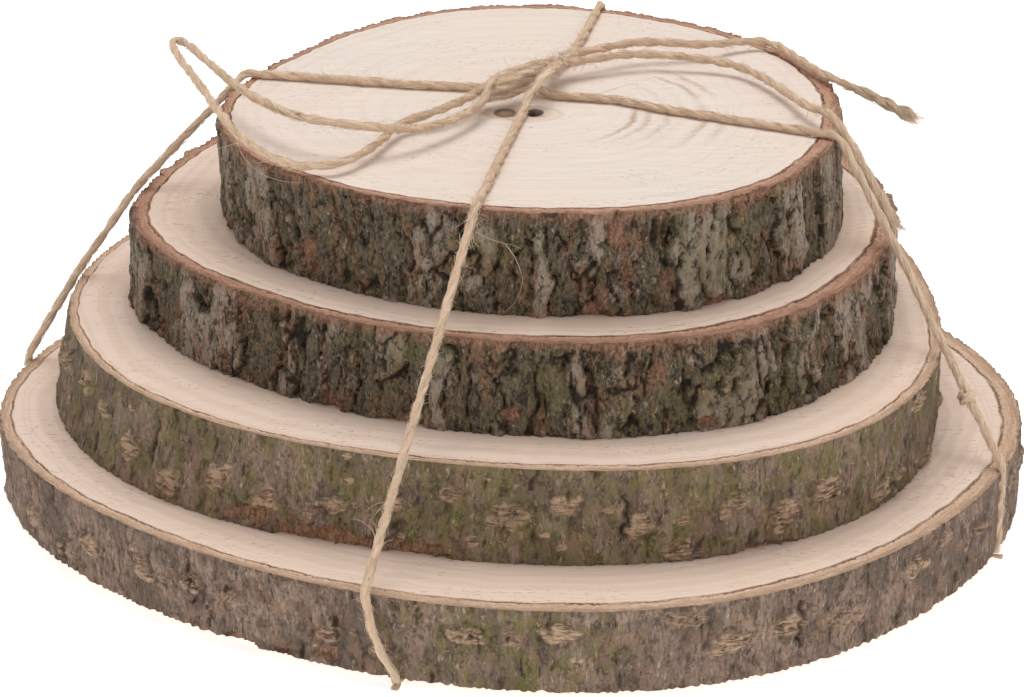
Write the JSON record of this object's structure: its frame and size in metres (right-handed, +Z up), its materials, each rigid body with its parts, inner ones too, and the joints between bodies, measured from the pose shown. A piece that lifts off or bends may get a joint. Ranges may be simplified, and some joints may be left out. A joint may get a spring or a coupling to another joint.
{
  "type": "tied set of round wood slices",
  "caption": "Stack of round bark-edged tree slices, each smaller than the one below, tied crosswise with jute twine in a loose bow on top.",
  "frame": {"origin": "on the table, under the middle of the tied stack without its loose twine", "axes": "+Z up through the slices, -Y towards the viewer of the picture, +X to the right"},
  "size_m": [0.2582, 0.2513, 0.1055],
  "materials": {
    "olive_bark_wood": "rough olive-grey bark with tan warts round pale sawn wood",
    "dark_bark_wood": "rough dark furrowed bark with a reddish cut edge round pale sawn wood",
    "jute_twine": "matt hairy two-ply jute"
  },
  "bodies": {
    "root": {"slice_bottom": "olive_bark_wood", "slice_lower_middle": "olive_bark_wood", "slice_upper_middle": "dark_bark_wood", "slice_top": "dark_bark_wood", "twine_under_across": "jute_twine", "twine_under_front": "jute_twine", "twine_under_back": "jute_twine", "twine_front_strand": "jute_twine", "twine_back_strand": "jute_twine", "twine_left_strand": "jute_twine", "twine_right_strand": "jute_twine", "twine_knot": "jute_twine", "twine_loop": "jute_twine", "twine_long_end": "jute_twine", "twine_short_end": "jute_twine"}
  },
  "joints": []
}
